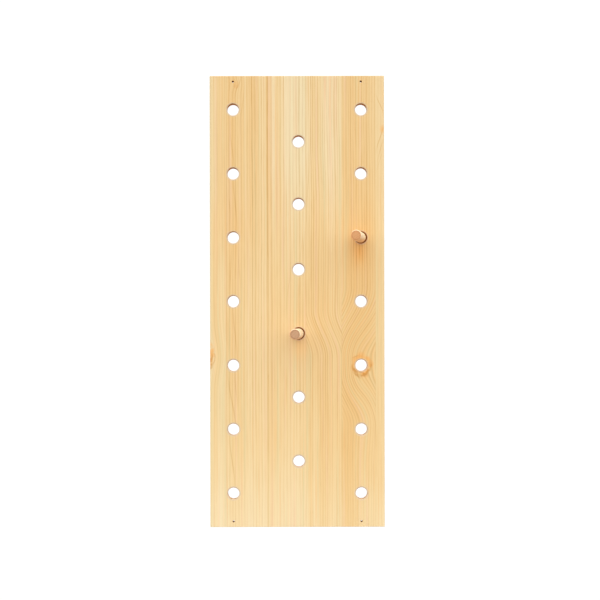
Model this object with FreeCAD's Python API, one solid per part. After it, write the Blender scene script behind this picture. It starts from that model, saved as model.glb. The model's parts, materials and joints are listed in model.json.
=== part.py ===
"""Wall pegboard: an edge-glued softwood board of six strips, drilled with a staggered grid of peg
holes and four screw holes, and the two round pegs that stand in it.

Millimetres. +Z is up the board and +Y points into the wall that it is screwed to. The origin is on
the back face, at the centre of the four screw holes.
"""

import FreeCAD
import Part

import math
import os

# Board
BOARD_WIDTH = 300.0
BOARD_HEIGHT = 776.0
BOARD_THICKNESS = 18.0
BOARD_ARRIS = 0.8  # radius that every outer edge is eased to
STRIP_WIDTHS = (28.0, 70.0, 67.5, 61.0, 58.0, 15.5)  # glued edge to edge, from the left

# Peg holes: three columns, the middle one staggered by half a pitch
HOLE_DIAMETER = 20.0
HOLE_RIM = 1.5  # radius that each rim is rounded to, front and back
HOLE_PITCH = 110.0
OUTER_COLUMN_ROWS = 7
MIDDLE_COLUMN_ROWS = 6
MIDDLE_COLUMN_SHIFT = 2.5  # the middle column is drilled this far right of centre
STRAY_HOLE_ROW = 1  # one hole of the middle column, counted from the top, is drilled off the grid
STRAY_HOLE_RISE = 2.5

# Screw holes, one near each corner, in line with the outer columns
SCREW_HOLE_DIAMETER = 3.5
SCREW_HOLE_INSET = 10.0  # from the top and bottom edges

# Pegs: loose in their holes, so each leans. A lean is an angle off square, and its turn is the way
# that it leans: degrees round the hole from right, anticlockwise seen from the front. A drop is how
# low a peg lies in its hole, at the middle of the board.
PEG_DIAMETER = 18.0
PEG_LENGTH = 120.0
PEG_END_ROUND = 2.0
PEG_WALL_GAP = 0.4  # between the peg's inner end and the wall
RIGHT_PEG_ROW = 2  # in the right column, counted from the top
RIGHT_PEG_LEAN = 6.4
RIGHT_PEG_TURN = 189.0
RIGHT_PEG_DROP = 0.0
CENTRE_PEG_ROW = 3  # in the middle column, counted from the top
CENTRE_PEG_LEAN = 3.3
CENTRE_PEG_TURN = 184.0
CENTRE_PEG_DROP = 0.5

OUT = "parts"
FRONT = -BOARD_THICKNESS  # y of the front face; the back face is at 0
INTO_BOARD = FreeCAD.Vector(0, 1, 0)


def column_heights(rows):
    """Heights of a column's holes, from the top, centred on the board."""
    top = (rows - 1) * HOLE_PITCH / 2
    return [top - row * HOLE_PITCH for row in range(rows)]


def peg_hole_columns():
    """{column: [(x, z), ...]} of the peg holes, each column from the top."""
    middle_heights = column_heights(MIDDLE_COLUMN_ROWS)
    middle_heights[STRAY_HOLE_ROW] += STRAY_HOLE_RISE
    outer_heights = column_heights(OUTER_COLUMN_ROWS)
    return {
        "left": [(-HOLE_PITCH, z) for z in outer_heights],
        "middle": [(MIDDLE_COLUMN_SHIFT, z) for z in middle_heights],
        "right": [(HOLE_PITCH, z) for z in outer_heights],
    }


def screw_hole_centres():
    """(x, z) of the four screw holes."""
    height = BOARD_HEIGHT / 2 - SCREW_HOLE_INSET
    return [(x, z) for x in (-HOLE_PITCH, HOLE_PITCH) for z in (-height, height)]


def drill(diameter, centre):
    """A cylinder that passes right through the board at a hole's centre."""
    x, z = centre
    start = FreeCAD.Vector(x, FRONT - 1, z)
    return Part.makeCylinder(diameter / 2, BOARD_THICKNESS + 2, start, INTO_BOARD)


def is_circle(edge):
    return isinstance(edge.Curve, Part.Circle)


def make_board():
    """The whole board as one solid, before it is parted into its strips."""
    corner = FreeCAD.Vector(-BOARD_WIDTH / 2, FRONT, -BOARD_HEIGHT / 2)
    board = Part.makeBox(BOARD_WIDTH, BOARD_THICKNESS, BOARD_HEIGHT, corner)
    holes = [drill(HOLE_DIAMETER, centre) for column in peg_hole_columns().values() for centre in column]
    board = board.cut(Part.makeCompound(holes)).Solids[0]
    board = board.makeFillet(HOLE_RIM, [edge for edge in board.Edges if is_circle(edge)])
    outline = [edge for edge in board.Edges if not is_circle(edge) and edge.Length >= BOARD_THICKNESS]
    board = board.makeFillet(BOARD_ARRIS, outline)
    screw_holes = [drill(SCREW_HOLE_DIAMETER, centre) for centre in screw_hole_centres()]
    return board.cut(Part.makeCompound(screw_holes))


def make_strips():
    """{name: solid} for the strips, each the board's material between two glue lines."""
    board = make_board()
    strips = {}
    left = -BOARD_WIDTH / 2
    for number, width in enumerate(STRIP_WIDTHS, start=1):
        corner = FreeCAD.Vector(left, FRONT, -BOARD_HEIGHT / 2)
        slab = Part.makeBox(width, BOARD_THICKNESS, BOARD_HEIGHT, corner)
        strips[f"panel_strip_{number}"] = board.common(slab).Solids[0]
        left += width
    return strips


def make_peg(hole, lean, turn, drop):
    """A round-ended dowel whose axis leans about the hole's middle, or a point a drop below it."""
    tilt, around = math.radians(lean), math.radians(turn)
    axis = FreeCAD.Vector(
        math.sin(tilt) * math.cos(around), -math.cos(tilt), math.sin(tilt) * math.sin(around)
    )
    x, z = hole
    middle = FreeCAD.Vector(x, FRONT / 2, z - drop)
    # the inner end's rounded edge is a ring of this radius, and its lowest point stays off the wall
    ring_radius = PEG_DIAMETER / 2 - PEG_END_ROUND
    ring_depth = BOARD_THICKNESS / 2 - PEG_WALL_GAP - PEG_END_ROUND - ring_radius * math.sin(tilt)
    behind_middle = ring_depth / math.cos(tilt) + PEG_END_ROUND
    peg = Part.makeCylinder(PEG_DIAMETER / 2, PEG_LENGTH, middle - axis * behind_middle, axis)
    return peg.makeFillet(PEG_END_ROUND, [edge for edge in peg.Edges if is_circle(edge)])


def main():
    os.makedirs(OUT, exist_ok=True)
    columns = peg_hole_columns()
    parts = make_strips()
    right_hole = columns["right"][RIGHT_PEG_ROW]
    centre_hole = columns["middle"][CENTRE_PEG_ROW]
    parts["right_peg"] = make_peg(right_hole, RIGHT_PEG_LEAN, RIGHT_PEG_TURN, RIGHT_PEG_DROP)
    parts["centre_peg"] = make_peg(centre_hole, CENTRE_PEG_LEAN, CENTRE_PEG_TURN, CENTRE_PEG_DROP)
    for name, solid in parts.items():
        if not solid.isValid() or solid.Volume <= 0:
            raise ValueError(f"{name} is not a valid solid")
        solid.exportStep(os.path.join(OUT, name + ".step"))
        box = solid.BoundBox
        size = f"{box.XLength:.1f} x {box.YLength:.1f} x {box.ZLength:.1f} mm"
        print(f"{name}: {size}, {solid.Volume / 1000:.1f} cm3")


main()
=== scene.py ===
import json
import math
from collections import namedtuple

import bpy
from mathutils import Euler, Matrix, Quaternion, Vector, geometry, noise


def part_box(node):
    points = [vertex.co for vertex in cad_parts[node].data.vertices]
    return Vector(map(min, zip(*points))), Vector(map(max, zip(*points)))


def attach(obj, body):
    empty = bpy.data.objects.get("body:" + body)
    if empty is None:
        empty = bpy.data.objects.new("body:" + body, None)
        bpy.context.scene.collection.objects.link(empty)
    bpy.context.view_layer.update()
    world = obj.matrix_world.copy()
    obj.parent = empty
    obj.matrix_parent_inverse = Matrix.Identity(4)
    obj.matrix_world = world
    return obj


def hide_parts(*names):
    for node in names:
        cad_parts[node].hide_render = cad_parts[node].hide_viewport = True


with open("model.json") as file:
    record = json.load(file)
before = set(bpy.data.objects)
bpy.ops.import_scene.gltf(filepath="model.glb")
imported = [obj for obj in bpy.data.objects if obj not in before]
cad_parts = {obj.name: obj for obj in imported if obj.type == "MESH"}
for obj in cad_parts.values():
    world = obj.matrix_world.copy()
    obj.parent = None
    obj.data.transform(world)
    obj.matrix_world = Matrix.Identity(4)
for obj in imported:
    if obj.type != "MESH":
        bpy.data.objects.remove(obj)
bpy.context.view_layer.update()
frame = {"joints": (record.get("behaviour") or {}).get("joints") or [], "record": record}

# A wall pegboard of pine: six edge-glued strips with drilled holes, and two loose dowel pegs.
# Lengths are in metres, except in the wood materials, which count in millimetres.

MM = 0.001
MM_PER_METRE = 1000.0
QUARTER_TURN = math.pi / 2
FULL_TURN = 2 * math.pi

# Rounded edges of the board, and the points over its face
ARRIS = 0.8 * MM
ROUND_STEPS = 6
ROUND_TURNS = [QUARTER_TURN * step / ROUND_STEPS for step in range(ROUND_STEPS + 1)]
FLAT_MARGIN = 0.2 * MM  # from a rounded edge to the first points on the flat
FACE_GRID = 6 * MM
SHARP_ANGLE = math.radians(40)
SANDING_RELIEF = 0.04 * MM
SANDING_ACROSS = 18  # noise units per metre
SANDING_ALONG = 7
SANDING_BACK = 0.5  # how much of the front's relief the back has
STRIP_NOISE_SPREAD = 50  # keeps the strips' noise apart
TRIANGLE_TOLERANCE = 1e-5

# Drilled holes
HOLE_RIM = 1.5 * MM
SCREW_RIM = 0.25 * MM
HOLE_SEGMENTS = 72
SCREW_SEGMENTS = 28
RIM_SWELL = 0.1  # how much of itself a rim gains where the drill lifted the fibres
RIM_SWELL_POWER = 3
RIM_WAVER = 0.1
RIM_WAVER_RATE = 2.1
RIM_NOISE_LAYER = 0.3
HOLE_NOISE_SPREAD = 40  # keeps the holes' noise apart
INSIDE_WALL = -0.001 * MM  # a margin for telling what is in a hole
ON_WALL = 0.01 * MM  # and what is on its wall

# Depths through the board, from the front at 0 to the back at 1
WALL_DEPTHS = (0.0, 0.12, 0.24, 0.32, 0.5, 0.7, 0.86, 0.94, 1.0)
# A collar round a peg that stands in for the shade in the gap: its depths, and its gap to the peg
SHADE_COLLAR_DEPTHS = (0.24, 0.94)
SHADE_COLLAR_GAP = 0.03 * MM

# Dowel pegs
PEG_END_ROUND = 2.0 * MM
PEG_END_STEPS = 8
PEG_END_RINGS = (0.0, 0.3, 0.6, 0.85)  # shares of the flat end's radius
PEG_SEGMENTS = 96
PEG_ROWS = 40
PEG_DENT = 0.07 * MM
DENTS_AROUND = 1.3
DENTS_ALONG = 60
PEG_NOISE_SPREAD = 30


# ------------ meshes


def arc_cut(distance, radius):
    """How far a rounded edge lies behind the flat face, at a distance from the wall."""
    inward = radius - min(max(distance, 0.0), radius)
    return radius - math.sqrt(max(radius * radius - inward * inward, 0.0))


def arc_offsets(radius):
    """How far from the wall a rounded edge's rows of points are, the last one on the flat."""
    return [radius * (1 - math.cos(turn)) for turn in ROUND_TURNS] + [radius + FLAT_MARGIN]


def spaced(start, end, step):
    """Evenly spaced numbers from start to end, both included."""
    count = max(1, math.ceil(abs(end - start) / step))
    return [start + (end - start) * k / count for k in range(count + 1)]


class Hole:
    """A drilled hole, whose rim is rounded a little more where the drill lifted the fibres."""

    def __init__(self, x, z, radius, rim, segments):
        self.x, self.z, self.radius, self.rim, self.segments = x, z, radius, rim, segments
        self.peg = None

    def rim_at(self, angle):
        across_grain = abs(math.sin(angle)) ** RIM_SWELL_POWER
        noise_x = self.x * HOLE_NOISE_SPREAD + math.cos(angle)
        noise_y = self.z * HOLE_NOISE_SPREAD + math.sin(angle)
        place = Vector((noise_x, noise_y, RIM_NOISE_LAYER)) * RIM_WAVER_RATE
        return self.rim * (1 + RIM_SWELL * across_grain + RIM_WAVER * noise.noise(place))

    def loops(self):
        """Closed loops of points round the hole, from its wall outwards."""
        angles = [FULL_TURN * k / self.segments for k in range(self.segments)]
        rows = zip(*(arc_offsets(self.rim_at(angle)) for angle in angles))
        for row in rows:
            loop = []
            for angle, offset in zip(angles, row):
                reach = self.radius + offset
                loop.append((self.x + reach * math.cos(angle), self.z + reach * math.sin(angle)))
            yield loop

    def cut(self, x, z):
        angle = math.atan2(z - self.z, x - self.x)
        away = math.hypot(x - self.x, z - self.z) - self.radius
        return arc_cut(away, self.rim_at(angle))

    def near(self, x, z, margin):
        return math.hypot(x - self.x, z - self.z) < self.radius + margin

    def wall_point(self, point, share):
        """A point of the wall. Round a peg, a collar closes in on the peg: a brown lip that stands in for
        the shade in the gap, so the gap does not show the white behind.
        """
        if not self.peg or not SHADE_COLLAR_DEPTHS[0] < share < SHADE_COLLAR_DEPTHS[1]:
            return point
        beside = self.peg.centre + self.peg.axis * ((point.y - self.peg.centre.y) / self.peg.axis.y)
        outward = Vector((point.x - beside.x, 0, point.z - beside.z))
        reach = min(outward.length, self.peg.radius / abs(self.peg.axis.y) + SHADE_COLLAR_GAP)
        return beside + outward.normalized() * reach


class Outline:
    """The front outline of a strip. Its ends are rounded, and so are sides on the board's outside."""

    def __init__(self, low, high, left_open, right_open):
        self.left, self.right, self.bottom, self.top = low.x, high.x, low.z, high.z
        self.left_open, self.right_open = left_open, right_open

    def cut(self, x, z):
        sideways = math.inf
        if self.left_open:
            sideways = min(sideways, x - self.left)
        if self.right_open:
            sideways = min(sideways, self.right - x)
        endways = min(self.top - z, z - self.bottom)
        away = min(sideways, endways)
        if sideways < ARRIS and endways < ARRIS:
            away = ARRIS - math.hypot(ARRIS - sideways, ARRIS - endways)
        return arc_cut(away, ARRIS)

    def side(self, x, is_open, upward):
        """Points along one long side, from the top end down, or upward from the bottom end."""
        if is_open:
            points = self.open_side(x, 0.0)
        else:
            rows = arc_offsets(ARRIS)
            heights = [self.top - row for row in rows]
            heights += spaced(self.top - rows[-1], self.bottom + rows[-1], FACE_GRID)[1:-1]
            heights += [self.bottom + row for row in reversed(rows)]
            points = [(x, z) for z in heights]
        return points[::-1] if upward else points

    def open_side(self, x, offset):
        """A long side on the board's outside, with the corners rounded."""
        inward = 1 if x == self.left else -1
        corner, radius = max(ARRIS, offset), max(ARRIS - offset, 0.0)
        outwards = [x + inward * corner - inward * radius * math.sin(turn) for turn in ROUND_TURNS]
        points = list(zip(outwards, (radius * math.cos(turn) for turn in ROUND_TURNS)))
        upper = [(px, self.top - corner + rise) for px, rise in points]
        lower = [(px, self.bottom + corner - rise) for px, rise in reversed(points)]
        straight = spaced(upper[-1][1], lower[0][1], FACE_GRID)[1:-1]
        return upper + [(x + inward * offset, z) for z in straight] + lower

    def closed_loop(self):
        """The outer edge of the strip, all the way round."""
        left = self.side(self.left, self.left_open, upward=False)
        right = self.side(self.right, self.right_open, upward=True)
        bottom = [(x, self.bottom) for x in spaced(left[-1][0], right[0][0], FACE_GRID)[1:-1]]
        top = [(x, self.top) for x in spaced(right[-1][0], left[0][0], FACE_GRID)[1:-1]]
        return left + bottom + right + top

    def inner_lines(self):
        """Lines inside the outer edge that follow its rounding."""
        for offset in arc_offsets(ARRIS)[1:]:
            left = self.left + (max(ARRIS, offset) if self.left_open else 0.0)
            right = self.right - (max(ARRIS, offset) if self.right_open else 0.0)
            xs = spaced(left, right, FACE_GRID)
            yield [(x, self.top - offset) for x in xs]
            yield [(x, self.bottom + offset) for x in xs]
            if self.left_open:
                yield self.open_side(self.left, offset)
            if self.right_open:
                yield self.open_side(self.right, offset)

    def grid(self):
        """Points over the flat middle of the strip."""
        border = ARRIS + FLAT_MARGIN + FACE_GRID / 2
        left = self.left + (border if self.left_open else FACE_GRID)
        right = self.right - (border if self.right_open else FACE_GRID)
        for x in spaced(left, right, FACE_GRID):
            for z in spaced(self.bottom + border, self.top - border, FACE_GRID):
                yield x, z


def add_line(points, edges, line, closed):
    first = len(points)
    points.extend(line)
    count = len(line)
    edges.extend((first + k, first + k + 1) for k in range(count - 1))
    if closed:
        edges.append((first + count - 1, first))


def triangulated(outline, holes):
    """The strip's face as flat points and triangles, with its holes left open."""
    points, edges = [], []
    add_line(points, edges, outline.closed_loop(), closed=True)
    for line in outline.inner_lines():
        add_line(points, edges, line, closed=False)
    for hole in holes:
        for loop in hole.loops():
            add_line(points, edges, loop, closed=True)
    clear = FACE_GRID / 2
    for x, z in outline.grid():
        if not any(hole.near(x, z, clear) for hole in holes):
            points.append((x, z))
    scaled = [Vector((x / MM, z / MM)) for x, z in points]
    flat, _, triangles, _, _, _ = geometry.delaunay_2d_cdt(scaled, edges, [], 0, TRIANGLE_TOLERANCE)
    flat = [(point.x * MM, point.y * MM) for point in flat]
    kept = []
    for triangle in triangles:
        middle_x = sum(flat[k][0] for k in triangle) / 3
        middle_z = sum(flat[k][1] for k in triangle) / 3
        if not any(hole.near(middle_x, middle_z, INSIDE_WALL) for hole in holes):
            kept.append(triangle)
    return flat, kept


def add_object(name, data):
    thing = bpy.data.objects.new(name, data)
    bpy.context.scene.collection.objects.link(thing)
    return thing


def finish_mesh(name, points, faces):
    """A smooth-shaded object with hard edges only at real corners."""
    mesh = bpy.data.meshes.new(name)
    mesh.from_pydata(points, [], faces)
    mesh.validate()
    for polygon in mesh.polygons:
        polygon.use_smooth = True
    mesh.set_sharp_from_angle(angle=SHARP_ANGLE)
    return add_object(name, mesh)


def make_strip(name, low, high, holes, left_open, right_open, step):
    """One solid strip of the board, whose face stands a hair higher or lower than its neighbours'."""
    outline = Outline(low, high, left_open, right_open)
    flat, triangles = triangulated(outline, holes)

    def relief(x, z):
        place = Vector((x * SANDING_ACROSS, z * SANDING_ALONG, low.x * STRIP_NOISE_SPREAD))
        return step + SANDING_RELIEF * noise.noise(place)

    def cut(x, z):
        return max([outline.cut(x, z)] + [hole.cut(x, z) for hole in holes])

    cuts = [cut(x, z) for x, z in flat]
    count = len(flat)
    points = [(x, low.y + depth + relief(x, z), z) for (x, z), depth in zip(flat, cuts)]
    points += [(x, high.y - depth - relief(z, x) * SANDING_BACK, z) for (x, z), depth in zip(flat, cuts)]
    faces = [tuple(triangle) for triangle in triangles]
    faces += [tuple(k + count for k in reversed(triangle)) for triangle in triangles]

    edges = {pair for triangle in triangles for pair in zip(triangle, triangle[1:] + triangle[:1])}
    rows_of = {}
    for start, end in sorted(pair for pair in edges if pair[::-1] not in edges):
        for corner in (start, end):
            if corner not in rows_of:
                front, back = Vector(points[corner]), Vector(points[corner + count])
                hole = next((hole for hole in holes if hole.near(front.x, front.z, ON_WALL)), None)
                first_row = len(points)
                for share in WALL_DEPTHS[1:-1]:
                    point = front.lerp(back, share)
                    points.append(tuple(hole.wall_point(point, share) if hole else point))
                rows_of[corner] = [corner] + list(range(first_row, len(points))) + [corner + count]
        for row in range(len(WALL_DEPTHS) - 1):
            first, second = rows_of[start], rows_of[end]
            faces.append((second[row], first[row], first[row + 1], second[row + 1]))
    return finish_mesh(name, points, faces)


def make_peg(peg):
    """A dowel along a peg's axis, with rounded ends and the small dents of use."""
    centre, half_length, radius = peg.centre, peg.half_length, peg.radius
    profile = [(share * (radius - PEG_END_ROUND), half_length) for share in PEG_END_RINGS]
    for step in range(PEG_END_STEPS + 1):
        turn = QUARTER_TURN * step / PEG_END_STEPS
        out = radius - PEG_END_ROUND + PEG_END_ROUND * math.sin(turn)
        profile.append((out, half_length - PEG_END_ROUND * (1 - math.cos(turn))))
    straight = half_length - PEG_END_ROUND
    middle = [(radius, height) for height in spaced(straight, -straight, 2 * straight / PEG_ROWS)[1:-1]]
    profile += middle + [(out, -height) for out, height in reversed(profile)]

    points = []
    last_row = len(profile) - 1
    for row, (out, height) in enumerate(profile):
        ring = 1 if row in (0, last_row) else PEG_SEGMENTS
        for k in range(ring):
            angle = FULL_TURN * k / PEG_SEGMENTS
            around = Vector((math.cos(angle), math.sin(angle), 0))
            place = Vector((around.x, around.y, height * DENTS_ALONG)) * DENTS_AROUND
            dent = abs(PEG_DENT * noise.noise(place + centre * PEG_NOISE_SPREAD) * (out / radius))
            local = around * (out - dent) + Vector((0, 0, height - math.copysign(dent, height)))
            points.append(tuple(centre + peg.turn @ local))
    faces = []
    for k in range(PEG_SEGMENTS):
        following = (k + 1) % PEG_SEGMENTS
        faces.append((0, 1 + k, 1 + following))
        for row in range(1, last_row - 1):
            first = 1 + (row - 1) * PEG_SEGMENTS
            second = first + PEG_SEGMENTS
            faces.append((first + k, second + k, second + following, first + following))
        last_ring = 1 + (last_row - 2) * PEG_SEGMENTS
        faces.append((last_ring + k, last_ring + PEG_SEGMENTS, last_ring + following))
    return finish_mesh(f"{peg.name}_dowel", points, faces)


# ------------ node helpers


class Field:
    """A number that varies over a surface: a node's output with arithmetic."""

    def __init__(self, tree, socket):
        self.tree, self.socket = tree, socket

    def math(self, operation, *values):
        node = self.tree.nodes.new("ShaderNodeMath")
        node.operation = operation
        for place, value in zip(node.inputs, values):
            feed(place, value)
        return Field(self.tree, node.outputs[0])

    def __add__(self, other):
        return self.math("ADD", self, other)

    def __sub__(self, other):
        return self.math("SUBTRACT", self, other)

    def __rsub__(self, other):
        return self.math("SUBTRACT", other, self)

    def __mul__(self, other):
        return self.math("MULTIPLY", self, other)

    def __truediv__(self, other):
        return self.math("DIVIDE", self, other)

    def between(self, at_zero, at_one):
        """at_zero where this is 0, at_one where it is 1."""
        return self * (at_one - at_zero) + at_zero

    def over(self, other):
        return self.math("MAXIMUM", self, other)

    def root(self):
        return self.math("SQRT", self)

    def size(self):
        return self.math("ABSOLUTE", self)

    def bell(self):
        """1 at zero, falling smoothly to nothing by about 2 on either side."""
        return self.math("EXPONENT", self * self * -1.0)

    def rise(self, start, end):
        """0 at start and beyond, 1 at end and beyond, smooth in between."""
        node = self.tree.nodes.new("ShaderNodeMapRange")
        node.interpolation_type = "SMOOTHSTEP"
        feed(node.inputs["Value"], self)
        node.inputs["From Min"].default_value = start
        node.inputs["From Max"].default_value = end
        return Field(self.tree, node.outputs["Result"])


def feed(place, value):
    """Links a field to a socket, or sets the socket to a plain number."""
    if isinstance(value, Field):
        value.tree.links.new(value.socket, place)
    else:
        place.default_value = value


def vector(x, y, z):
    node = x.tree.nodes.new("ShaderNodeCombineXYZ")
    for place, value in zip(node.inputs, (x, y, z)):
        feed(place, value)
    return node.outputs[0]


def split_vector(tree, socket):
    split = tree.nodes.new("ShaderNodeSeparateXYZ")
    tree.links.new(socket, split.inputs[0])
    return [Field(tree, output) for output in split.outputs]


def coordinates(tree, kind):
    """Where a point is, or which way it faces, as three fields."""
    return split_vector(tree, tree.nodes.new("ShaderNodeTexCoord").outputs[kind])


def cloud(x, y, z, detail=2.0):
    """Smooth noise from about -1 to 1."""
    node = x.tree.nodes.new("ShaderNodeTexNoise")
    node.inputs["Scale"].default_value = 1.0
    node.inputs["Detail"].default_value = detail
    x.tree.links.new(vector(x, y, z), node.inputs["Vector"])
    return Field(x.tree, node.outputs[0]) * 2.0 - 1.0


def chance(whole, seed):
    """A different number from 0 to 1 for each whole number."""
    node = whole.tree.nodes.new("ShaderNodeTexWhiteNoise")
    node.noise_dimensions = "2D"
    whole.tree.links.new(vector(whole, seed, 0.0), node.inputs["Vector"])
    return Field(whole.tree, node.outputs["Value"])


def late_wood(ring, seed, strengths, start, end):
    """The dark part of each growth ring, between a start and an end in the ring."""
    within = ring.math("FRACT", ring)
    strength = chance(ring.math("FLOOR", ring), seed).between(*strengths)
    return within.rise(*start) * (1.0 - within.rise(*end)) * strength


def weighted(fields, weights):
    """The sum of some fields, each times its weight."""
    total = fields[0] * weights[0]
    for field, weight in zip(fields[1:], weights[1:]):
        total = total + field * weight
    return total


def ramp(place, stops):
    """A colour, or a grey tone, along stops of (place, value)."""
    node = place.tree.nodes.new("ShaderNodeValToRGB")
    elements = node.color_ramp.elements
    elements.remove(elements[1])
    for number, (position, value) in enumerate(stops):
        element = elements[0] if number == 0 else elements.new(position)
        element.position = position
        element.color = value if isinstance(value, tuple) else (value, value, value, 1.0)
    feed(node.inputs["Fac"], place)
    return Field(place.tree, node.outputs["Color"])


def blend(share, first, second, how="MIX"):
    """Two colours mixed by share."""
    node = share.tree.nodes.new("ShaderNodeMix")
    node.data_type = "RGBA"
    node.blend_type = how
    feed(node.inputs[0], share)
    feed(node.inputs[6], first)
    feed(node.inputs[7], second)
    return Field(share.tree, node.outputs[2])


def colour(red, green, blue):
    """A colour given as it looks on screen, 0 to 255, as Blender's linear light."""

    def linear(level):  # the sRGB curve
        share = level / 255
        return share / 12.92 if share <= 0.04045 else ((share + 0.055) / 1.055) ** 2.4

    return (linear(red), linear(green), linear(blue), 1.0)


# ------------ wood

# Pine from the darkest resin-soaked line to the palest sapwood, by tone
PINE = [
    (-0.70, colour(150, 92, 46)),
    (-0.35, colour(208, 147, 83)),
    (-0.02, colour(231, 184, 117)),
    (0.22, colour(237, 196, 132)),
    (0.45, colour(240, 206, 148)),
    (0.65, colour(242, 214, 163)),
    (0.90, colour(244, 223, 180)),
    (1.15, colour(247, 229, 195)),
]
DARKEST, PALEST = PINE[0][0], PINE[-1][0]
GREENISH = colour(228, 209, 158)
PINKISH = colour(241, 203, 160)
ORANGE = colour(243, 180, 100)
# Orange of resin, used also to paint the warm shadow below the right peg
RESIN_AND_PAINTED_WARM_SHADOW = colour(253, 181, 88)
# Painted light that lifts and warms the shadow below the centre peg
WARM_PAINTED_LIGHT = colour(255, 209, 143)
GREY_RIM_TINT = colour(212, 193, 168)
GREY_WALL_TINT = colour(208, 168, 120)
LINE_SHADE = colour(227, 210, 180)
# Brown of drill burn, also used to paint shade in the holes
BURN_AND_SHADE_BROWN = colour(192, 127, 64)
FRONT = -18.0  # the board's front face, in millimetres

# How one strip's wood looks. Places are on the board, in millimetres.
Look = namedtuple("Look", "upper middle lower pith ring depth wander lines streaks bows drifts knots tints",
                  defaults=[()] * 6)

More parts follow.
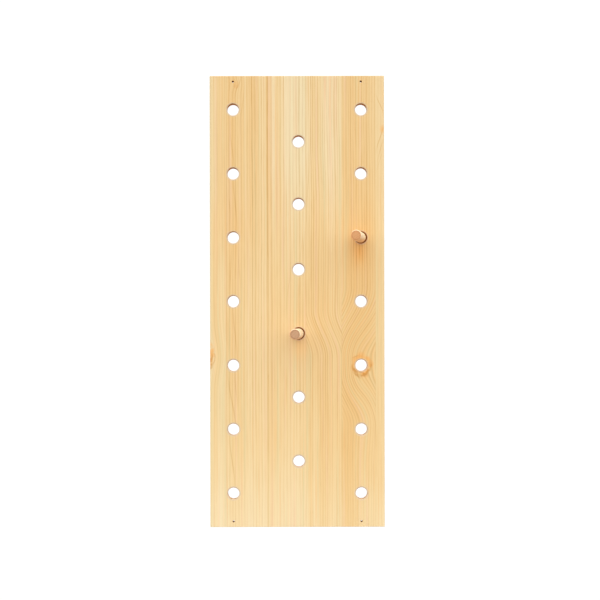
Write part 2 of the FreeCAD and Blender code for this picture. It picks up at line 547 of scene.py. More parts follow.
# Tones are (x, tone) across the strip near the top, middle and bottom of the board.
# pith: (x, y) of the tree's centre. ring: ring width. depth: how dark the ring lines are.
# lines: (x, half width, depth), along the grain.
# wander: how far the grain strays. streaks: (x and z at one end, x and z at the other, half width, depth).
# bows: (x, z, reach in x, reach in z, push), where the grain swerves and comes back.
# drifts: (z at the start, z at the end, push), where it moves over for good.
# knots: (x, z, half width, half height, depth).
# tints: (x, half width, z, half height, colour, amount).
LOOKS = [
    Look(
        upper=[(-150, 0.68), (-140, 0.62), (-136, 0.42), (-130, 0.44), (-122, 0.5)],
        middle=[(-150, 0.72), (-144, 0.45), (-140, 0.38), (-134, 0.61), (-122, 0.59)],
        lower=[(-150, 0.72), (-142, 0.46), (-134, 0.68), (-122, 0.59)],
        pith=(-90, -78), ring=4.9, depth=0.15, wander=1.2,
        lines=[(-136.5, 0.9, 0.1), (-129, 0.7, 0.12), (-125, 0.6, 0.1)],
        bows=[(-138, -92, 26, 38, 7.0)],
        knots=[(-151, -91, 9, 22, 0.8)],
        tints=[(-149, 3.5, 0, 900, GREENISH, 0.55), (-139, 2.2, 250, 200, PINKISH, 0.5),
               (-134, 16, 125, 70, ORANGE, 0.14)],
    ),
    Look(
        upper=[(-122, 0.48), (-112, 0.27), (-99, 0.48), (-94, 0.37), (-90, 0.58), (-84, 0.43),
               (-78, 0.32), (-72, 0.38), (-66, 0.47), (-61, 0.63), (-55, 0.57), (-52, 0.45)],
        middle=[(-122, 0.52), (-112, 0.38), (-102, 0.42), (-92, 0.5), (-84, 0.6), (-72, 0.54),
                (-60, 0.61), (-52, 0.6)],
        lower=[(-122, 0.58), (-114, 0.45), (-100, 0.46), (-90, 0.52), (-80, 0.63), (-68, 0.5),
               (-59, 0.6), (-52, 0.54)],
        pith=(-28, -80), ring=5.0, depth=0.26, wander=2.2,
        lines=[(-95.9, 0.7, 0.2), (-84.9, 0.7, 0.16), (-77.5, 0.7, 0.2), (-69.2, 0.7, 0.12),
               (-120.5, 0.8, 0.12)],
        streaks=[(-96, 385, -106, 358, 0.9, 0.22), (-91, 359, -98, 305, 0.8, 0.16),
                 (-115, 296, -108, 228, 0.9, 0.2), (-117, 182, -115, 146, 0.8, 0.26),
                 (-110, 214, -103, 124, 0.9, 0.26), (-113, 90, -116, 10, 0.9, 0.2),
                 (-102, 92, -97, 14, 0.8, 0.16), (-111, -10, -104, -92, 0.9, 0.24),
                 (-118, -20, -120, -90, 0.8, 0.16), (-119, -130, -106, -215, 0.9, 0.27),
                 (-108, -128, -103, -180, 0.8, 0.16), (-117, -235, -108, -312, 1.0, 0.26)],
        bows=[(-104, 374, 10, 12, 4.0)],
        knots=[(-104.5, 373, 5, 6, 0.25)],
        tints=[(-90, 50, 125, 60, ORANGE, 0.1)],
    ),
    Look(
        upper=[(-52, 0.36), (-48, 0.45), (-40, 0.82), (-33, 0.48), (-27, 0.6), (-21, 0.84), (-12, 0.98),
               (-4, 0.92), (2, 0.88), (12, 0.98), (15.5, 0.8)],
        middle=[(-52, 0.56), (-42, 0.47), (-30, 0.5), (-20, 0.53), (0, 0.5), (15.5, 0.46)],
        lower=[(-52, 0.45), (-44, 0.42), (-36, 0.51), (-20, 0.57), (0, 0.58), (15.5, 0.54)],
        pith=(62, -100), ring=5.4, depth=0.2, wander=1.6,
        lines=[(-50.4, 0.8, 0.34), (-36.5, 0.6, 0.1), (-22.5, 0.6, 0.16), (-15, 0.6, 0.16),
               (-7.5, 0.5, 0.1), (3.5, 0.5, 0.1), (11.5, 0.5, 0.12)],
        streaks=[(10.5, 120, 5, 70, 0.7, 0.14), (14, 130, 9.5, 74, 0.7, 0.16),
                 (-18, 180, -24, 60, 0.7, 0.12), (-10, 60, -18, 0, 0.7, 0.12)],
        # The last tint is painted light that lifts and warms the centre peg's shadow
        tints=[(-44, 3.5, 300, 140, PINKISH, 0.35), (2, 12, 330, 180, GREENISH, 0.22),
               (6, 16, -78, 20, WARM_PAINTED_LIGHT, 0.7)],
    ),
    Look(
        upper=[(15.5, 0.84), (22, 0.7), (27, 0.52), (33, 0.6), (38, 0.57), (43, 0.7), (53, 0.88),
               (58, 0.88), (62, 0.78), (70, 0.73), (76.5, 0.67)],
        middle=[(15.5, 0.46), (27, 0.39), (38, 0.36), (48, 0.4), (56, 0.47), (64, 0.48), (76.5, 0.43)],
        lower=[(15.5, 0.54), (21, 0.36), (30, 0.53), (36, 0.45), (40, 0.33), (50, 0.34), (56, 0.42),
               (64, 0.46), (76.5, 0.44)],
        pith=(112, -90), ring=4.1, depth=0.26, wander=2.4,
        lines=[(18, 0.6, 0.16), (24, 0.6, 0.12), (31, 0.7, 0.14), (41.5, 0.6, 0.14), (47, 0.5, 0.12),
               (53.5, 0.5, 0.12), (60, 0.5, 0.14), (66, 0.5, 0.1), (71.5, 0.6, 0.12)],
        streaks=[(21, 242, 17, 165, 0.7, 0.18)],
        bows=[(52, 150, 30, 90, 3.0)],
        drifts=[(-15, -95, 24.0)],
        # Painted light that lifts and warms the centre peg's shadow
        tints=[(10, 16, -72, 20, WARM_PAINTED_LIGHT, 0.5)],
    ),
    Look(
        upper=[(76.5, 0.56), (82, 0.42), (90, 0.36), (100, 0.36), (110, 0.4), (120, 0.38), (134.5, 0.5)],
        middle=[(76.5, 0.38), (88, 0.28), (100, 0.24), (120, 0.24), (128, 0.29), (134.5, 0.4)],
        lower=[(76.5, 0.38), (81, 0.2), (92, 0.2), (100, 0.28), (108, 0.38), (134.5, 0.43)],
        pith=(58, -85), ring=4.5, depth=0.24, wander=2.0,
        lines=[(79.5, 0.8, 0.14), (86, 0.8, 0.14), (93.5, 0.6, 0.12), (101, 0.6, 0.1), (122, 0.6, 0.1)],
        # The first four streaks lie in the right peg's shadow: grain lines, with painted shadow in them
        streaks=[(97, 108, 96, 60, 0.9, 0.2), (101.5, 106, 102, 54, 0.9, 0.32),
                 (107.5, 102, 108, 72, 1.2, 0.34), (112, 100, 113, 64, 1.2, 0.26),
                 (96, -116, 117, -126, 2.8, 0.6), (97, -122, 108, -133, 1.8, 0.4),
                 (96, -97, 104, -93, 1.8, 0.35)],
        bows=[(106, -106, 24, 52, -13.0), (118, -190, 26, 60, 5.0)],
        drifts=[(25, -95, -42.0), (-125, -215, 26.0)],
        knots=[(111, -110, 16, 20, 0.95)],
        # Below the right peg, the tight tint is painted warm shadow; the broad one warms the wood round the
        # peg
        tints=[(107, 10, 86, 22, RESIN_AND_PAINTED_WARM_SHADOW, 0.55), (106, 30, 100, 90, RESIN_AND_PAINTED_WARM_SHADOW, 0.12)],
    ),
    Look(
        upper=[(134.5, 0.57), (150, 0.64)],
        middle=[(134.5, 0.46), (150, 0.58)],
        lower=[(134.5, 0.41), (150, 0.54)],
        pith=(190, -60), ring=5.4, depth=0.1, wander=1.2,
        streaks=[(136.5, 355, 149, 323, 0.9, 0.28), (149, 302, 136.5, 259, 0.9, 0.3),
                 (150, 288, 139, 241, 0.8, 0.2), (149, 266, 137, 222, 0.8, 0.12)],
        tints=[(147, 3.5, 296, 6, ORANGE, 0.7)],
    ),
]


def wood_material(name):
    """A new material, with its node tree and its Principled shader."""
    material = bpy.data.materials.new(name)
    material.use_nodes = True
    return material, material.node_tree, material.node_tree.nodes["Principled BSDF"]


def board_place(tree):
    """The point on the board, in millimetres, as three fields."""
    return [metres * MM_PER_METRE for metres in coordinates(tree, "Object")]


def add_bump(shader, height, strength, distance):
    bump = height.tree.nodes.new("ShaderNodeBump")
    bump.inputs["Strength"].default_value = strength
    bump.inputs["Distance"].default_value = distance
    feed(bump.inputs["Height"], height)
    height.tree.links.new(bump.outputs["Normal"], shader.inputs["Normal"])


# Noise: rates per millimetre across and along the grain, seed's shift, detail
NOISES = {
    "slow wander": (0.012, 0.004, 0, 2.0),
    "quick wander": (0.05, 0.014, 5, 2.0),
    "ring widths": (0.13, 0.0008, 9, 1.0),
    "ring breaks": (0.3, 0.026, 2, 2.0),
    "patches": (0.02, 0.008, 3, 2.0),
    "knot outline": (0.07, 0.07, 4, 2.0),
    "knot patches": (0.09, 0.09, 6, 2.0),
    "hue": (0.15, 0.003, 11, 1.0),
    "gold": (0.42, 0.005, 13, 1.0),
}
QUICK_WANDER = 0.3  # of the slow wander's reach

# Bands of tone: heights between which they change, in millimetres
UPPER_BANDS = (0.0, 280.0)
LOWER_BANDS = (-60.0, -220.0)
# Painted light: the foot of the board turns paler between these heights, by this much tone
PAINTED_LIGHT_FOOT = (-220.0, -410.0)
FOOT_PAINTED_LIGHT = 0.25
TONE_DROP = 0.02

# Growth rings
RING_UNEVENNESS = 0.5
LATE_WOOD = ((0.4, 1.2), (0.3, 0.72), (0.84, 1.0))  # strengths, its start and its end in the ring
BREAK_LEVEL = 0.9
BREAK_REACH = 0.6
RINGS_FADE = (-140.0, -250.0)  # heights between which the rings' lines grow fainter
RINGS_FAINTER = 0.45
LINES_FADE = (-60.0, 190.0)  # heights between which the strip's own lines grow stronger
LINES_FAINTEST = 0.2
GLUE_HALF_WIDTH = 0.6
GLUE_DEPTH = 0.09

# Fibres and resin flecks: rates across, through the board and along, seed's shift, detail
FIBRES = (0.6, 0.5, 0.018, 0, 3.0)
FINE_FIBRES = (2.6, 2.0, 0.06, 0, 2.0)
FLECKS = (1.1, 1.0, 0.09, 7, 0.0)
FLECKS_SHOW = (0.52, 0.8)
LINE_PARTS = (1.0, 0.1, 0.15)  # lines, flecks and fibres
TONE_PARTS = (1.0, -0.25, 0.03, 0.06)  # bands, lines, fine fibres and patches

# Knots: distances from the middle, where 1 is the knot's edge
KNOT_WOBBLE = 0.4
KNOT_TAPER = 0.05  # how fast a knot narrows towards the back, per millimetre
KNOT_EDGE = (0.8, 1.25)
KNOT_PATCHES = (-0.4, 0.1)
KNOT_ORANGE = (0.15, 0.95)
KNOT_WAVES = (13.0, 2.0)  # by distance, by patches
KNOT_UNDERSIDE = (0.4, -0.5)
KNOT_DARKNESS = 0.65

# Wood cut across the grain, at the ends and at the tops and bottoms of the holes
CUT_ACROSS = (0.45, 0.95)
PORE_RATE = 1.4
PORE_DETAIL = 3.0
PORE_TONE = 0.16
END_GRAIN_TONE = -0.42
END_RING_TONE = 0.25

# Hues that drift along the grain: noise, from where to where it shows, strength, colour
HUES = [
    ("hue", 0.05, 0.6, 0.6, PINKISH),
    ("hue", -0.05, -0.6, 0.5, GREENISH),
    ("gold", 0.1, 0.6, 0.3, ORANGE),
]
LINE_DARKENING = 1.9

# Drilled holes: a greyish tint on rims and walls; brown walls of drill burn with painted shade round a peg;
# painted shade on the ceilings of empty holes and in the screw holes. (start, end) outwards from the wall,
# in millimetres, and shares
RIM_START = (0.1, 0.7)
RIM_END = (1.7, 3.0)
# A greyish tint on rims and walls, stronger where they face up
FACES_UP = (0.0, 0.9)
GREY_RIM_SHARES = (0.55, 0.85)  # where the rim faces sideways or down, and where it faces up
GREY_WALL_SHARES = (0.65, 0.85)
BURN_AND_SHADE_END = (0.5, 1.3)
# Round a peg: drill burn, with painted shade that keeps the gap round the peg dark
PEG_HOLE_BURN_AND_SHADE = 0.95
# Painted shade on the ceilings of the empty holes: how far they face down, and how much
CEILING = (-0.15, -0.75)
CEILING_PAINTED_SHADE = 0.9
# Painted shade inside the screw holes
SCREW_SHADE_END = (0.0, 0.4)
SCREW_PAINTED_SHADE = 0.95

PINE_ROUGHNESS = 0.5
ROUGHENING = (0.07, -0.08, 0.18)  # by fine fibres, rings and cut wood
PINE_SPECULAR = 0.35
PINE_HEIGHTS = (0.35, 0.3, 0.5, 0.6)  # of fine fibres, fibres, rings and pores
PINE_BUMP = (0.35, 0.12 * MM)  # strength, height


class Pine:
    """A strip's material in the making, and where a point lies on the board and in the grain."""

    def __init__(self, name, look, seed):
        self.material, self.tree, self.shader = wood_material(name)
        self.look, self.seed = look, seed
        self.x, self.y, self.z = board_place(self.tree)
        self.upward = coordinates(self.tree, "Normal")[2]  # from 1, facing up, to -1, facing down
        bent = self.bent_grain()
        self.across = self.on_face(bent)
        drifted = bent
        for start, end, push in look.drifts:
            drifted = drifted - self.z.rise(start, end) * push
        self.grain = self.on_face(drifted)

    def noise(self, kind, across):
        rate_across, rate_along, shift, detail = NOISES[kind]
        along = self.z * rate_along
        return cloud(across * rate_across, self.seed + shift, along, detail)

    def spot(self, at_x, reach_x, at_z, reach_z):
        """1 at a place on the board, falling smoothly to nothing round it."""
        return ((self.x - at_x) / reach_x).bell() * ((self.z - at_z) / reach_z).bell()

    def bent_grain(self):
        """Distance across the strip's face, following the bows and the slow wander of the grain."""
        bent = self.x
        for at_x, at_z, reach_x, reach_z, push in self.look.bows:
            bent = bent - self.spot(at_x, reach_x, at_z, reach_z) * push
        bent = bent + self.noise("slow wander", self.x) * self.look.wander
        return bent + self.noise("quick wander", self.x) * (self.look.wander * QUICK_WANDER)

    def on_face(self, bent):
        """Where the growth ring through a point in the wood comes out on the front face."""
        pith_x, pith_y = self.look.pith
        beyond = pith_y - FRONT
        sideways = bent - pith_x
        deep = self.y - pith_y
        radius_squared = sideways * sideways + deep * deep
        flat = (radius_squared - beyond * beyond).over(0.0).root()
        return flat * sideways.math("SIGN", sideways) + pith_x

    def tone_curve(self, stops):
        """(x, tone) stops across the strip, straight in between."""
        first, last = stops[0][0], stops[-1][0]
        places = [((x - first) / (last - first), tone) for x, tone in stops]
        return ramp((self.across - first) / (last - first), places)

    def tone_bands(self):
        """Broad bands of tone, which change from the top of the board to the bottom, with painted light
        that makes the foot paler.
        """
        tone = self.tone_curve(self.look.middle)
        tone = tone + (self.tone_curve(self.look.upper) - tone) * self.z.rise(*UPPER_BANDS)
        tone = tone + (self.tone_curve(self.look.lower) - tone) * self.z.rise(*LOWER_BANDS)
        return tone + self.z.rise(*PAINTED_LIGHT_FOOT) * FOOT_PAINTED_LIGHT - TONE_DROP

    def growth_rings(self):
        """The dark of the rings, and how it breaks along the grain."""
        ring = self.grain / self.look.ring + self.noise("ring widths", self.grain) * RING_UNEVENNESS
        broken = self.noise("ring breaks", self.grain) * BREAK_REACH + BREAK_LEVEL
        return late_wood(ring, self.seed, *LATE_WOOD) * broken, broken

    def lines(self, ring_dark, broken):
        """The rings' lines, and the lines and streaks that this strip alone has."""
        line = ring_dark * (1.0 - self.z.rise(*RINGS_FADE) * RINGS_FAINTER) * self.look.depth
        fading = broken * self.z.rise(*LINES_FADE).between(LINES_FAINTEST, 1.0)
        for at, half_width, depth in self.look.lines:
            line = line + ((self.across - at) / half_width).bell() * fading * depth
        for numbers in self.look.streaks:
            line = line + streak(self.x, self.z, *numbers)
        return line

    def fibres(self, across, through, along, shift, detail):
        depth = self.y * through + self.seed + shift
        return cloud(self.grain * across, depth, self.z * along, detail)

    def knot(self, at_x, at_z, half_width, half_height, depth):
        """A knot's dark arcs and its orange patches. It narrows towards the back of the board."""
        side = (self.x - at_x) / half_width
        height = (self.z - at_z) / half_height
        wobble = self.noise("knot outline", self.x) * KNOT_WOBBLE
        taper = (self.y - FRONT) * KNOT_TAPER + 1.0
        away = (side * side + height * height).root() * taper + wobble
        inside = 1.0 - away.rise(*KNOT_EDGE)
        patches = self.noise("knot patches", self.x).rise(*KNOT_PATCHES)
        waves = weighted((away, patches), KNOT_WAVES)
        arcs = (waves.math("SINE", waves) * 0.5 + 0.5) * inside
        arcs = arcs * height.rise(*KNOT_UNDERSIDE) * depth * KNOT_DARKNESS
        return arcs, inside * patches.between(*KNOT_ORANGE) * depth

    def coloured(self, tone, line, orange):
        """The wood's colour, from its tone, drifting hues, the strip's tints and its lines."""
        stops = [((at - DARKEST) / (PALEST - DARKEST), value) for at, value in PINE]
        wood = ramp((tone - DARKEST) / (PALEST - DARKEST), stops)
        for kind, start, end, strength, tint in HUES:
            share = self.noise(kind, self.grain).rise(start, end) * strength
            wood = blend(share, wood, tint)
        for at_x, half_width, at_z, half_height, tint, amount in self.look.tints:
            share = self.spot(at_x, half_width, at_z, half_height) * amount
            wood = blend(share, wood, tint)
        if self.look.knots:
            wood = blend(orange, wood, ORANGE)
        return blend(line * LINE_DARKENING, wood, LINE_SHADE, "MULTIPLY")

    def beyond_wall(self, hole):
        """Distance outwards from a hole's wall, in millimetres."""
        away_x, away_z = self.x - hole.x / MM, self.z - hole.z / MM
        return (away_x * away_x + away_z * away_z).root() - hole.radius / MM

    def drilled(self, wood, holes, screws):
        """Adds a greyish tint to rims and walls, and brown walls: drill burn with painted shade round a
        peg, and painted shade on empty holes' ceilings and in screw holes. Also gives how much brown there
        is.
        """
        if not holes:
            return wood, 0.0
        rim, wall, burn_and_shade = 0.0, 0.0, 0.0
        for hole in holes:
            away = self.beyond_wall(hole)
            outside = away.rise(*RIM_START)
            rim = outside - away.rise(*RIM_END) + rim
            wall = 1.0 - outside + wall
            # Brown walls: round a peg, drill burn with painted shade for the dark gap; in an empty hole,
            # painted shade on the down-facing ceiling only
            hole_burn_and_shade = PEG_HOLE_BURN_AND_SHADE if hole.peg else self.upward.rise(*CEILING) * CEILING_PAINTED_SHADE
            burn_and_shade = (1.0 - away.rise(*BURN_AND_SHADE_END)) * hole_burn_and_shade + burn_and_shade
        # Painted shade in the screw holes, for the dark of their narrow depth
        for screw in screws:
            burn_and_shade = (1.0 - self.beyond_wall(screw).rise(*SCREW_SHADE_END)) * SCREW_PAINTED_SHADE + burn_and_shade
        # A greyish tint on rims and walls, stronger where they face up
        facing = self.upward.rise(*FACES_UP)
        wood = blend(facing.between(*GREY_RIM_SHARES) * rim, wood, GREY_RIM_TINT)
        wood = blend(facing.between(*GREY_WALL_SHARES) * wall, wood, GREY_WALL_TINT)
        return blend(burn_and_shade, wood, BURN_AND_SHADE_BROWN), burn_and_shade


STREAK_TURN = (-0.1, 1.1)  # shares of its length over which a streak moves sideways


def streak(x, z, x_start, z_start, x_end, z_end, half_width, depth):
    """A long thin line that fades out at both ends."""
    along = (z - z_start) / (z_end - z_start)
    centre = along.rise(*STREAK_TURN) * (x_end - x_start) + x_start
    fade = ((along - 0.5) / 0.5).bell()
    return ((x - centre) / half_width).bell() * fade * depth


def make_pine(name, look, seams, holes, screws, seed):
    """A strip's pine, with glue lines at its seams, and at its holes a greyish tint, drill burn and painted
    shade.
    """
    pine = Pine(name, look, seed)
    ring_dark, broken = pine.growth_rings()
    fibre, fine_fibre = pine.fibres(*FIBRES), pine.fibres(*FINE_FIBRES)
    fleck = pine.fibres(*FLECKS).rise(*FLECKS_SHOW)
    patch = pine.noise("patches", pine.x)
    line = weighted((pine.lines(ring_dark, broken), fleck, fibre), LINE_PARTS)
    tone = weighted((pine.tone_bands(), line, fine_fibre, patch), TONE_PARTS)

    orange = 0.0
    for numbers in look.knots:
        arcs, patches = pine.knot(*numbers)
        line = line + arcs
        orange = patches + orange
    for seam in seams:
        line = line + ((pine.x - seam / MM) / GLUE_HALF_WIDTH).bell() * GLUE_DEPTH

    cut_across = pine.upward.size().rise(*CUT_ACROSS)
    pores = cloud(pine.x * PORE_RATE, pine.y * PORE_RATE, seed, PORE_DETAIL)
    tone = tone + cut_across * (pores * PORE_TONE + END_GRAIN_TONE)
    tone = tone - cut_across * ring_dark * END_RING_TONE
    wood, burn_and_shade = pine.drilled(pine.coloured(tone, line, orange), holes, screws)

    inputs = pine.shader.inputs
    feed(inputs["Base Color"], wood)
    roughening = weighted((fine_fibre, ring_dark, cut_across), ROUGHENING)
    feed(inputs["Roughness"], roughening + PINE_ROUGHNESS)
    feed(inputs["Specular IOR Level"], (1.0 - burn_and_shade) * PINE_SPECULAR)
    height = weighted((fine_fibre, fibre, ring_dark, pores * cut_across), PINE_HEIGHTS)
    add_bump(pine.shader, height, *PINE_BUMP)
    return pine.material


# Dowel wood. Rates are per millimetre, and places in millimetres from the peg's axis.
DOWEL_PITH = (7.0, -16.0)  # the tree's centre, which each peg's seed moves further
DOWEL_WAVER = 1.2
DOWEL_WAVER_RATES = (0.1, 0.02)  # across, along
DOWEL_RING = 1.7
DOWEL_LATE_WOOD = ((0.3, 1.0), (0.25, 0.85), (0.9, 1.0))
DOWEL_FIBRES = (1.3, 0.06, 3.0)  # across, along, detail
DOWEL_FLECKS = (1.1, 0.2, 1.0)
DOWEL_FLECKS_SHOW = (0.3, 0.62)
DOWEL_PORE_RATE = 2.2

# Its colours: how the side turns from painted shade to painted light, what marks it, and what darkens the
# sawn end
# Painted light and shade: pale towards the upper right side, orange towards the lower left
LIT_SIDE_DIRECTION = Vector((0.64, 0.77))  # across a peg, towards its pale side
LIT_TURN = (-0.35, 0.6)
LIT_TURN_FIBRE = 0.25
SIDE_MARKS = (0.3, 0.6, 0.15)  # by rings, flecks and fibres
END_RIM = (0.55, 0.85)  # shares of the radius
END_MARKS = (0.55, 0.5, 0.35)  # by rings, pores and rim
END_TURN = (-0.35, 0.95)
SAWN_EDGE = (-0.5, 0.15)
SAWN_EDGE_SLOPE = 0.35

DOWEL_ROUGHNESS = 0.55
DOWEL_ROUGHENING = (0.08, 0.15)  # by fibres and by the saw
DOWEL_SPECULAR = 0.3
DOWEL_HEIGHTS = (0.5, 0.3, 0.8)  # of fibres, rings and pores
DOWEL_BUMP = (0.4, 0.15 * MM)  # strength, height


def peg_place(tree, peg):
    """The point on a peg, in millimetres, with z along its axis from its middle."""
    place = tree.nodes.new("ShaderNodeTexCoord")
    turned = tree.nodes.new("ShaderNodeMapping")
    turned.vector_type = "TEXTURE"
    turned.inputs["Location"].default_value = peg.centre
    turned.inputs["Rotation"].default_value = peg.turn.to_euler()
    tree.links.new(place.outputs["Object"], turned.inputs["Vector"])
    return [metres * MM_PER_METRE for metres in split_vector(tree, turned.outputs[0])]


def dowel_rings(x, y, z, seed):
    """The dark of a dowel's growth rings."""
    waver_across, waver_along = DOWEL_WAVER_RATES
    waver = cloud(x * waver_across, seed, z * waver_along) * DOWEL_WAVER
    sideways = x - (DOWEL_PITH[0] + seed) + waver
    deep = y - DOWEL_PITH[1]
    ring = (sideways * sideways + deep * deep).root() / DOWEL_RING
    return late_wood(ring, seed, *DOWEL_LATE_WOOD)


def dowel_cloud(x, y, z, seed, across, along, detail):
    return cloud(x * across, y * across + seed, z * along, detail)


def make_dowel_wood(peg, colours, seed):
    """Turned dowel: side grain with painted light on its upper right and painted shade, orange, on its
    lower left, with brown flecks, and darker sawn ends.
    """
    painted_lit_side, painted_shaded_side, fleck_tint, pale_end, dark_end = colours
    material, tree, shader = wood_material(f"{peg.name}_wood")
    x, y, z = peg_place(tree, peg)
    ring_dark = dowel_rings(x, y, z, seed)
    fibre = dowel_cloud(x, y, z, seed, *DOWEL_FIBRES)
    fleck = dowel_cloud(x, y, z, seed, *DOWEL_FLECKS).rise(*DOWEL_FLECKS_SHOW)

    radius = peg.radius / MM
    # Painted light and shade on the side: pale towards the upper right, orange towards the lower left
    towards_lit = (x * LIT_SIDE_DIRECTION.x + y * LIT_SIDE_DIRECTION.y) / radius + fibre * LIT_TURN_FIBRE
    side = blend(towards_lit.rise(*LIT_TURN), painted_shaded_side, painted_lit_side)
    marks = weighted((ring_dark, fleck, fibre), SIDE_MARKS)
    side = blend(marks.rise(0.0, 1.0), side, fleck_tint)

    from_axis = (x * x + y * y).root()
    pores = cloud(x * DOWEL_PORE_RATE, y * DOWEL_PORE_RATE, seed, PORE_DETAIL)
    rim = from_axis.rise(radius * END_RIM[0], radius * END_RIM[1])
    marks = weighted((ring_dark, pores, rim), END_MARKS)
    end = blend(marks.rise(*END_TURN), pale_end, dark_end)

    from_end = peg.half_length / MM - z.size()
    sawn = 1.0 - (from_end + (from_axis - radius) * SAWN_EDGE_SLOPE).rise(*SAWN_EDGE)
    feed(shader.inputs["Base Color"], blend(sawn, side, end))
    roughness = weighted((fibre, sawn), DOWEL_ROUGHENING) + DOWEL_ROUGHNESS
    feed(shader.inputs["Roughness"], roughness)
    shader.inputs["Specular IOR Level"].default_value = DOWEL_SPECULAR
    height = weighted((fibre, ring_dark, pores * sawn), DOWEL_HEIGHTS)
    add_bump(shader, height, *DOWEL_BUMP)
    return material


# ------------ the board

mounts = {mount["name"]: mount for mount in frame["record"]["mounts"]}
COLUMN_COUNTS = {"left": 7, "middle": 6, "right": 7}


def peg_measures(low, high, axis):
    """Half length and radius of a round-ended dowel, from the box of its tilted CAD solid."""
    half = (high - low) / 2
    lean_x = math.sqrt(1 - axis.x * axis.x)
    lean_y = math.sqrt(1 - axis.y * axis.y)
    across, along = half.x - PEG_END_ROUND, half.y - PEG_END_ROUND
    spread = abs(axis.x) * lean_y - abs(axis.y) * lean_x
    core_half_length = (across * lean_y - along * lean_x) / spread
    core_radius = (abs(axis.x) * along - abs(axis.y) * across) / spread
    return core_half_length + PEG_END_ROUND, core_radius + PEG_END_ROUND


class Peg:
    """Where a peg lies and how big it is, from its CAD box and its joint."""

    def __init__(self, node_name):
        self.name = node_name
        joint = next(joint for joint in frame["joints"] if joint["name"] == f"{node_name}_slide")
        self.axis = Vector(joint["axis"]).normalized()
        self.turn = Vector((0, 0, 1)).rotation_difference(self.axis)
        self.body = joint["child"]
        low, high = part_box(node_name)
        self.half_length, self.radius = peg_measures(low, high, self.axis)
        self.centre = (low + high) / 2
        self.foot = self.centre - self.axis * self.half_length


def hole_centre(column, number):
    """A peg hole's centre. One that holds a peg has no mount, and is midway between its neighbours."""
    mount = mounts.get(f"peg_hole_{column}_{number}")
    if mount:
        return Vector(mount["pos_m"])
    return (hole_centre(column, number - 1) + hole_centre(column, number + 1)) / 2


def hole_places():
    places = []
    radius = mounts["peg_hole_left_1"]["dims"]["r_mm"] * MM
    for column, count in COLUMN_COUNTS.items():
        for number in range(1, count + 1):
            centre = hole_centre(column, number)
            hole = Hole(centre.x, centre.z, radius, HOLE_RIM, HOLE_SEGMENTS)
            hole.peg = next((peg for peg in pegs if hole.near(peg.foot.x, peg.foot.z, 0.0)), None)
            places.append(hole)
    return places


def screw_places():
    """The four wall screw holes, near the corners."""
    dims = mounts["wall_screws"]["dims"]
    radius = dims["hole_r_mm"] * MM
    half_x, half_z = dims["spacing_x_mm"] * MM / 2, dims["spacing_y_mm"] * MM / 2
    corners = [(x, z) for x in (-half_x, half_x) for z in (-half_z, half_z)]
    return [Hole(x, z, radius, SCREW_RIM, SCREW_SEGMENTS) for x, z in corners]


pegs = [Peg("right_peg"), Peg("centre_peg")]
peg_holes, screw_holes = hole_places(), screw_places()
STRIP_STEPS = [0.0, 0.03, -0.02, 0.02, 0.0, 0.03]  # millimetres back from the CAD face
STRIP_COUNT = len(STRIP_STEPS)
FIRST_SEED = 1.3
SEED_STEP = 3.7

for index in range(STRIP_COUNT):
    node_name = f"panel_strip_{index + 1}"
    low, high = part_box(node_name)
    own_holes = [hole for hole in peg_holes if low.x < hole.x < high.x]
    own_screws = [hole for hole in screw_holes if low.x < hole.x < high.x]
    strip = make_strip(
        f"pine_strip_{index + 1}_wood", low, high, own_holes + own_screws,
        left_open=index == 0, right_open=index == STRIP_COUNT - 1, step=STRIP_STEPS[index] * MM,
    )
    seed = index * SEED_STEP + FIRST_SEED
    seams = (low.x, high.x)
    pine = make_pine(f"pine_{index + 1}", LOOKS[index], seams, own_holes, own_screws, seed)
    strip.data.materials.append(pine)
    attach(strip, "board")
    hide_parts(node_name)


# ------------ the pegs

# Colours of the side in painted light, the side in painted shade, and the flecks, then the sawn end's
# palest and darkest
PEG_COLOURS = {
    "right_peg": [colour(251, 222, 180), colour(242, 180, 120), colour(205, 145, 92),
                  colour(230, 172, 118), colour(192, 124, 74)],
    "centre_peg": [colour(253, 227, 188), colour(236, 178, 130), colour(214, 160, 112),
                   colour(216, 172, 134), colour(168, 118, 80)],
}
PEG_SEEDS = {"right_peg": 2.0, "centre_peg": 5.0}

for peg in pegs:
    dowel = make_peg(peg)
    dowel.data.materials.append(make_dowel_wood(peg, PEG_COLOURS[peg.name], PEG_SEEDS[peg.name]))
    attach(dowel, peg.body)
    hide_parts(peg.name)


# ------------ floor, light and camera

FLOOR_HEIGHT = -0.95
FLOOR_RADIUS = 1.5
FLOOR_SEGMENTS = 96
FLOOR_GREY = (0.52, 0.52, 0.52, 1.0)
FLOOR_ROUGHNESS = 0.8
FLOOR_FADE = (0.45, 0.98)  # shares of the radius

WHITE = (1.0, 1.0, 1.0, 1.0)
BACKDROP = 1.05
SKY_BELOW = 0.46
SKY_HORIZON = 0.96
SKY_OVERHEAD = 0.92  # what the sky straight above adds to the horizon
HORIZON = (-0.15, 0.05)
KEY_DIRECTION = (-0.05, 0.6, -0.8)
KEY_STRENGTH = 0.45
KEY_SOFTNESS = math.radians(90)

LENS = 96.0
SENSOR_WIDTH = 36.0
LENS_SHIFT = 0.0409
CAMERA_PLACE = (-0.0041, -2.770, -0.0398)
CAMERA_HEADING = -0.0032
CAMERA_ROLL = -0.0019


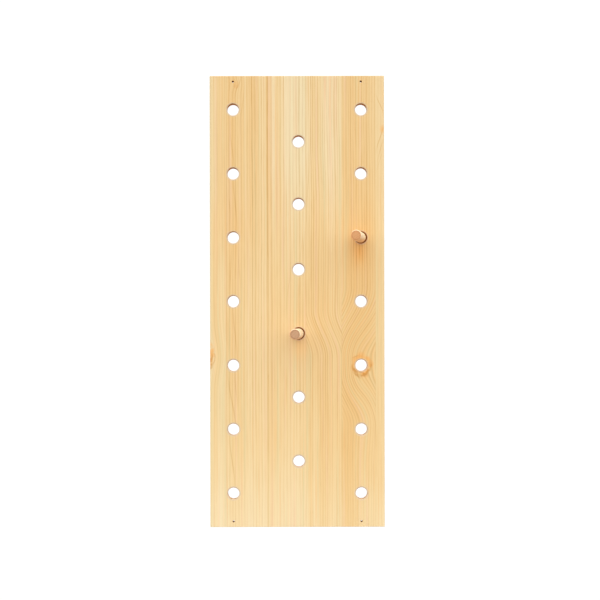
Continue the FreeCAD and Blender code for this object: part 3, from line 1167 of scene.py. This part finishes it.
def make_floor():
    """A pale round floor well below the board, whose edge melts into the white."""
    mesh = bpy.data.meshes.new("floor")
    rim = [FULL_TURN * k / FLOOR_SEGMENTS for k in range(FLOOR_SEGMENTS)]
    points = [(FLOOR_RADIUS * math.cos(turn), FLOOR_RADIUS * math.sin(turn), FLOOR_HEIGHT) for turn in rim]
    mesh.from_pydata(points, [], [tuple(range(FLOOR_SEGMENTS))])
    material, tree, shader = wood_material("pale_floor")
    shader.inputs["Base Color"].default_value = FLOOR_GREY
    shader.inputs["Roughness"].default_value = FLOOR_ROUGHNESS
    x, y, _ = board_place(tree)
    from_centre = (x * x + y * y).root()
    fade = from_centre.rise(*(FLOOR_RADIUS / MM * share for share in FLOOR_FADE))
    clear = tree.nodes.new("ShaderNodeBsdfTransparent")
    mix = tree.nodes.new("ShaderNodeMixShader")
    feed(mix.inputs[0], fade)
    tree.links.new(shader.outputs[0], mix.inputs[1])
    tree.links.new(clear.outputs[0], mix.inputs[2])
    output = next(node for node in tree.nodes if node.type == "OUTPUT_MATERIAL")
    tree.links.new(mix.outputs[0], output.inputs["Surface"])
    mesh.materials.append(material)
    floor = add_object("floor", mesh)


def make_surroundings():
    """White all round for the camera, and for the object a soft sky that is brightest overhead."""
    world = bpy.data.worlds.new("studio")
    world.use_nodes = True
    tree = world.node_tree
    background = tree.nodes["Background"]
    background.inputs["Color"].default_value = WHITE
    upward = coordinates(tree, "Generated")[2]
    above = upward.rise(*HORIZON).between(SKY_BELOW, SKY_HORIZON)
    sky = upward.over(0.0) * SKY_OVERHEAD + above
    path = tree.nodes.new("ShaderNodeLightPath")
    seen = Field(tree, path.outputs["Is Camera Ray"])
    feed(background.inputs["Strength"], seen * (BACKDROP - sky) + sky)
    bpy.context.scene.world = world


def make_key_light():
    """A very soft sun from above and in front, a little to the right."""
    data = bpy.data.lights.new("key", "SUN")
    data.energy = KEY_STRENGTH
    data.angle = KEY_SOFTNESS
    sun = add_object("key", data)
    sun.rotation_mode = "QUATERNION"
    sun.rotation_quaternion = Vector(KEY_DIRECTION).to_track_quat("-Z", "Y")


def make_camera():
    """A long lens a little below the board's middle, nearly square on to it."""
    data = bpy.data.cameras.new("camera")
    data.lens = LENS
    data.sensor_width = SENSOR_WIDTH
    data.shift_y = LENS_SHIFT
    camera = add_object("camera", data)
    camera.location = CAMERA_PLACE
    camera.rotation_mode = "QUATERNION"
    heading = Euler((QUARTER_TURN, 0.0, CAMERA_HEADING)).to_quaternion()
    camera.rotation_quaternion = heading @ Quaternion((0.0, 0.0, 1.0), CAMERA_ROLL)
    bpy.context.scene.camera = camera


make_floor()
make_surroundings()
make_key_light()
make_camera()
bpy.context.scene.view_settings.view_transform = "Standard"
